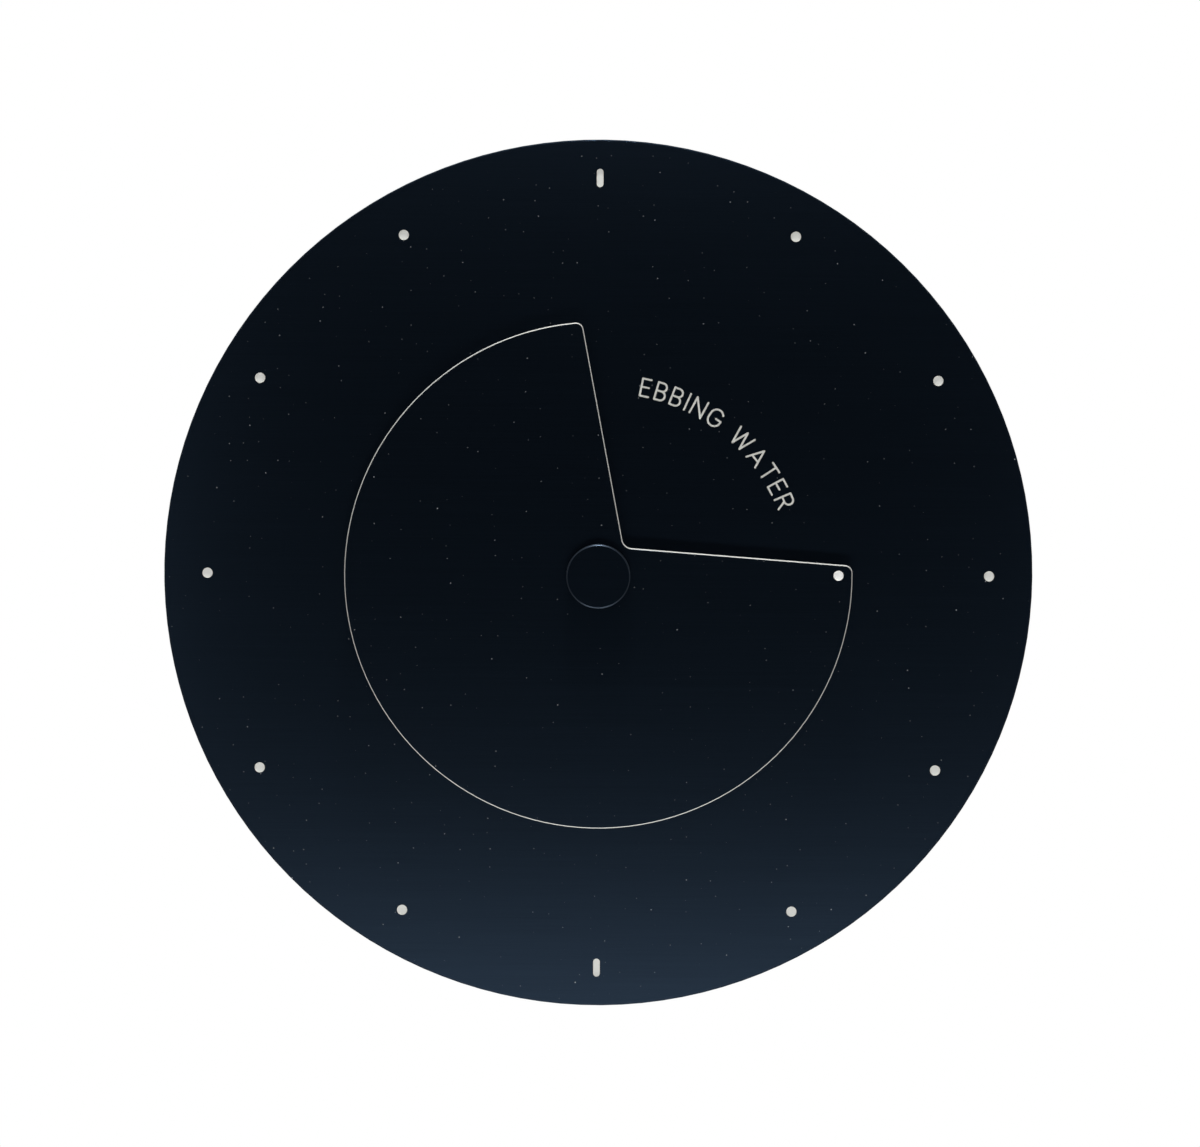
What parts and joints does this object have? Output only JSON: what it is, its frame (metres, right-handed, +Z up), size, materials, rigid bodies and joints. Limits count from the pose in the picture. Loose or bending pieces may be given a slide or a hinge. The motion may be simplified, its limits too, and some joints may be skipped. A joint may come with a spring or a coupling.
{
  "type": "tide clock",
  "caption": "Round wall clock for the tide: a notched disc turns once a tide cycle in front of an engraved dial, on a quartz movement that hangs on a nail.",
  "frame": {"origin": "centre of the bounding box: on the axis of the hand, half way between the wall and the front of the centre cap", "axes": "+Z up, the dial faces -Y, the hand turns on the Y axis, the wall is at +Y"},
  "size_m": [0.25, 0.0274, 0.25],
  "materials": {
    "dial_metal": "brushed across and anodised blue-black",
    "disc_metal": "brushed across and anodised blue-black, bright bevelled edge",
    "cap_metal": "turned and anodised blue-black",
    "brass": "turned, bare",
    "rubber": "matt",
    "case_plastic": "moulded, fine texture",
    "knob_plastic": "moulded",
    "plate_plastic": "moulded acetal",
    "wheel_plastic": "moulded acetal",
    "steel": "turned",
    "spring_steel": "plain",
    "magnet": "sintered",
    "soft_iron": "plain",
    "copper": "enamelled copper wire",
    "board": "printed circuit board",
    "chip_resin": "potting resin",
    "battery_jacket": "plain printed jacket with bare steel ends",
    "contact_metal": "nickel plated"
  },
  "bodies": {
    "clock": {"dial_plate": "dial_metal", "rubber_washer": "rubber", "brass_washer": "brass", "fixing_nut": "brass", "threaded_bushing": "brass", "front_shell": "case_plastic", "rear_cover": "case_plastic", "middle_plate": "plate_plastic", "stator_plate": "soft_iron", "coil_core": "soft_iron", "coil_bobbin": "plate_plastic", "coil_winding": "copper", "circuit_board": "board", "quartz_crystal": "steel", "control_chip": "chip_resin", "battery_contact_positive": "contact_metal", "battery_contact_negative": "contact_metal"},
    "hand": {"tide_disc": "disc_metal", "disc_collet": "brass", "centre_cap": "cap_metal", "tide_wheel": "wheel_plastic"},
    "minute": {"minute_wheel": "wheel_plastic"},
    "arbor": {"centre_arbor": "steel", "setting_knob": "knob_plastic", "clutch_spring": "spring_steel"},
    "clutch": {"clutch_wheel": "wheel_plastic"},
    "third": {"third_wheel": "wheel_plastic"},
    "second": {"second_wheel": "wheel_plastic"},
    "intermediate": {"intermediate_wheel": "wheel_plastic"},
    "rotor": {"rotor_pinion": "wheel_plastic", "rotor_magnet": "magnet"},
    "cell": {"battery": "battery_jacket"}
  },
  "joints": [
    {"name": "hand_turn", "type": "hinge", "parent": "clock", "child": "hand", "pos_m": [0, 0, 0], "axis": [0, 1, 0], "continuous": true},
    {"name": "minute_turn", "type": "hinge", "parent": "clock", "child": "minute", "pos_m": [-0.008, 0, 0], "axis": [0, 1, 0], "continuous": true},
    {"name": "setting_turn", "type": "hinge", "parent": "clock", "child": "arbor", "pos_m": [0, 0, 0], "axis": [0, 1, 0], "continuous": true},
    {"name": "rotor_turn", "type": "hinge", "parent": "clock", "child": "rotor", "pos_m": [-0.0082, 0, 0.02158], "axis": [0, 1, 0], "continuous": true},
    {"name": "intermediate_turn", "type": "hinge", "parent": "clock", "child": "intermediate", "pos_m": [-0.00942, 0, 0.01469], "axis": [0, 1, 0], "continuous": true},
    {"name": "second_turn", "type": "hinge", "parent": "clock", "child": "second", "pos_m": [-0.00073, 0, 0.01236], "axis": [0, 1, 0], "continuous": true},
    {"name": "third_turn", "type": "hinge", "parent": "clock", "child": "third", "pos_m": [0.00579, 0, 0.00689], "axis": [0, 1, 0], "continuous": true},
    {"name": "clutch_turn", "type": "hinge", "parent": "clock", "child": "clutch", "pos_m": [0, 0, 0], "axis": [0, 1, 0], "continuous": true},
    {"name": "battery_slide", "type": "slide", "parent": "clock", "child": "cell", "axis": [0, 1, 0], "range_m": [0, 0.02]}
  ],
  "couplings": [
    {"joint": "minute_turn", "follows": "hand_turn", "ratio": -4},
    {"joint": "setting_turn", "follows": "hand_turn", "ratio": 12},
    {"joint": "intermediate_turn", "follows": "rotor_turn", "ratio": -0.16667},
    {"joint": "second_turn", "follows": "rotor_turn", "ratio": 0.033333},
    {"joint": "third_turn", "follows": "rotor_turn", "ratio": -0.0044444},
    {"joint": "clutch_turn", "follows": "rotor_turn", "ratio": 0.00055556}
  ]
}
